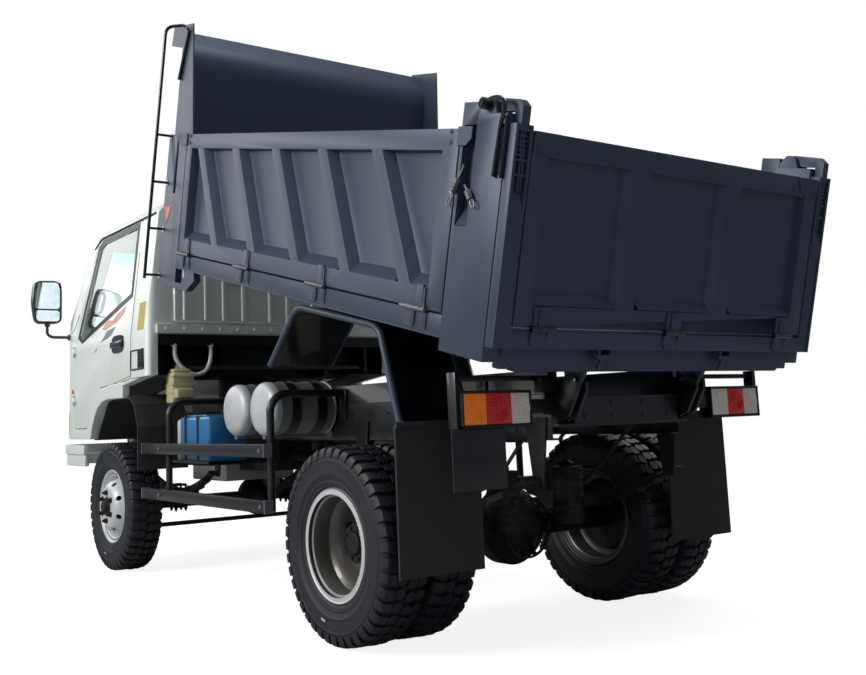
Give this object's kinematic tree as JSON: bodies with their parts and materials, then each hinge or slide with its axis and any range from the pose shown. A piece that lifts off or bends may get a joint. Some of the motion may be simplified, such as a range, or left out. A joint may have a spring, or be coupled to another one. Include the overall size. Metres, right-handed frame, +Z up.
{
  "type": "tipping truck",
  "caption": "Light cab-over dump truck with a raised hydraulic tipping steel bed, drop side boards, a two-way tailgate and twin rear wheels.",
  "frame": {"origin": "on the ground, at the middle of the truck's length and width as it stands with the bed raised", "axes": "+X forward, +Y to the truck's left, +Z up"},
  "size_m": [5.0116, 2.352, 3.2305],
  "materials": {
    "chassis_steel": "satin black paint",
    "axle_iron": "black painted casting",
    "engine_grey": "dull grey",
    "tank_metal": "bare metal",
    "battery_case": "blue case",
    "bottle_plastic": "yellowed translucent plastic",
    "fuel_steel": "dark paint",
    "lamp_housing": "black",
    "lamp_lens": "amber, red and clear",
    "flap_rubber": "matt",
    "cab_paint": "glossy pale paint",
    "skirt_grey": "dark grey",
    "tyre_rubber": "matt",
    "rim_silver": "silver paint",
    "cab_trim": "dark grey",
    "cab_glass": "pale green",
    "mirror_black": "black",
    "bed_paint": "glossy dark blue-grey",
    "black_paint": "gloss black",
    "hoist_steel": "ground steel"
  },
  "bodies": {
    "chassis": {"rails": "chassis_steel", "cross_members": "chassis_steel", "hoist_mount": "chassis_steel", "rear_beam": "chassis_steel", "front_axle": "axle_iron", "rear_axle": "axle_iron", "springs": "axle_iron", "driveline": "axle_iron", "engine": "engine_grey", "air_tanks": "tank_metal", "battery": "battery_case", "bottle": "bottle_plastic", "fuel_tank": "fuel_steel", "guard_rails": "chassis_steel", "guard_hoops": "black_paint", "wheel_guards": "flap_rubber", "lamp_carriers": "lamp_housing", "tail_lamps": "lamp_lens", "mud_flaps": "flap_rubber", "bumper": "cab_paint", "bumper_skirt": "skirt_grey"},
    "knuckle_left": {"knuckle_l": "axle_iron"},
    "knuckle_right": {"knuckle_r": "axle_iron"},
    "tie_rod": {"tie_rod": "axle_iron"},
    "front_wheel_left": {"front_tyre_l": "tyre_rubber", "front_rim_l": "rim_silver"},
    "front_wheel_right": {"front_tyre_r": "tyre_rubber", "front_rim_r": "rim_silver"},
    "rear_wheels_left": {"rear_tyres_l": "tyre_rubber", "rear_rims_l": "rim_silver"},
    "rear_wheels_right": {"rear_tyres_r": "tyre_rubber", "rear_rims_r": "rim_silver"},
    "cab": {"cab_shell": "cab_paint", "cab_liner": "flap_rubber", "cab_fittings": "cab_trim", "cab_glass": "cab_glass", "mirrors": "mirror_black"},
    "steering_wheel": {"steering_wheel": "cab_trim"},
    "door_left": {"door_l": "cab_paint", "door_glass_l": "cab_glass"},
    "door_right": {"door_r": "cab_paint", "door_glass_r": "cab_glass"},
    "bed": {"bed_floor": "bed_paint", "headboard": "bed_paint", "rear_posts": "bed_paint", "bed_fenders": "black_paint", "ladder": "black_paint"},
    "side_board_left": {"side_board_l": "bed_paint"},
    "side_board_right": {"side_board_r": "bed_paint"},
    "gate_frame": {"gate_frame": "bed_paint"},
    "gate_leaf": {"gate_leaf": "bed_paint"},
    "hoist_barrel": {"hoist_barrel": "black_paint"},
    "hoist_stage": {"hoist_stage": "hoist_steel"},
    "hoist_rod": {"hoist_rod": "hoist_steel"}
  },
  "joints": [
    {"name": "steer_left", "type": "hinge", "parent": "chassis", "child": "knuckle_left", "pos_m": [1.49583, 0.65, 0.4], "axis": [0, 0, 1], "range_deg": [-32, 32]},
    {"name": "steer_right", "type": "hinge", "parent": "chassis", "child": "knuckle_right", "pos_m": [1.49583, -0.65, 0.4], "axis": [0, 0, 1], "range_deg": [-32.2, 32.2]},
    {"name": "tie_rod_slide", "type": "slide", "parent": "chassis", "child": "tie_rod", "axis": [0, 1, 0], "range_m": [-0.0896, 0.0896]},
    {"name": "front_wheel_left_spin", "type": "hinge", "parent": "knuckle_left", "child": "front_wheel_left", "pos_m": [1.49583, 0.785, 0.4], "axis": [0, 1, 0], "continuous": true},
    {"name": "front_wheel_right_spin", "type": "hinge", "parent": "knuckle_right", "child": "front_wheel_right", "pos_m": [1.49583, -0.785, 0.4], "axis": [0, 1, 0], "continuous": true},
    {"name": "rear_wheels_left_spin", "type": "hinge", "parent": "chassis", "child": "rear_wheels_left", "pos_m": [-1.32417, 0.737, 0.4], "axis": [0, 1, 0], "continuous": true},
    {"name": "rear_wheels_right_spin", "type": "hinge", "parent": "chassis", "child": "rear_wheels_right", "pos_m": [-1.32417, -0.737, 0.4], "axis": [0, 1, 0], "continuous": true},
    {"name": "cab_tilt", "type": "hinge", "parent": "chassis", "child": "cab", "pos_m": [2.43083, 0, 0.8], "axis": [0, 1, 0], "range_deg": [0, 45]},
    {"name": "door_left_swing", "type": "hinge", "parent": "cab", "child": "door_left", "pos_m": [2.17983, 0.913, 1.27], "axis": [0, 0, -1], "range_deg": [0, 65]},
    {"name": "door_right_swing", "type": "hinge", "parent": "cab", "child": "door_right", "pos_m": [2.17983, -0.913, 1.27], "axis": [0, 0, 1], "range_deg": [0, 65]},
    {"name": "steering_wheel_turn", "type": "hinge", "parent": "cab", "child": "steering_wheel", "pos_m": [2.01583, 0.42, 1.64], "axis": [-0.454, 0, 0.891], "range_deg": [-385, 385]},
    {"name": "bed_tip", "type": "hinge", "parent": "chassis", "child": "bed", "pos_m": [-2.12417, 0, 1.01], "axis": [0, -1, 0], "range_deg": [-14, 29]},
    {"name": "side_board_left_drop", "type": "hinge", "parent": "bed", "child": "side_board_left", "pos_m": [-0.86603, 0.914, 1.56898], "axis": [-0.9703, 0, -0.2419], "range_deg": [0, 95]},
    {"name": "side_board_right_drop", "type": "hinge", "parent": "bed", "child": "side_board_right", "pos_m": [-0.86603, -0.914, 1.56898], "axis": [0.9703, 0, 0.2419], "range_deg": [0, 95]},
    {"name": "gate_swing", "type": "hinge", "parent": "bed", "child": "gate_frame", "pos_m": [-2.35688, 0, 1.96816], "axis": [0, 1, 0], "range_deg": [0, 60]},
    {"name": "gate_fold", "type": "hinge", "parent": "gate_frame", "child": "gate_leaf", "pos_m": [-2.33409, 0, 1.1947], "axis": [0, -1, 0], "range_deg": [0, 100]},
    {"name": "hoist_swing", "type": "hinge", "parent": "chassis", "child": "hoist_barrel", "pos_m": [-1.22417, 0, 0.64], "axis": [0, -1, 0], "range_deg": [-12.43, 25.67]},
    {"name": "hoist_stage_slide", "type": "slide", "parent": "hoist_barrel", "child": "hoist_stage", "axis": [0.385, 0, 0.9229], "range_m": [-0.1178, 0.2429]},
    {"name": "hoist_rod_slide", "type": "slide", "parent": "hoist_stage", "child": "hoist_rod", "axis": [0.385, 0, 0.9229], "range_m": [-0.1178, 0.2429]}
  ],
  "couplings": [
    {"joint": "steer_right", "follows": "steer_left", "ratio": 1},
    {"joint": "tie_rod_slide", "follows": "steer_left", "m_per_rad": -0.16},
    {"joint": "steering_wheel_turn", "follows": "steer_left", "ratio": 12},
    {"joint": "hoist_swing", "follows": "bed_tip", "ratio": 0.8833},
    {"joint": "hoist_stage_slide", "follows": "bed_tip", "m_per_rad": 0.4778},
    {"joint": "hoist_rod_slide", "follows": "bed_tip", "m_per_rad": 0.4778}
  ]
}
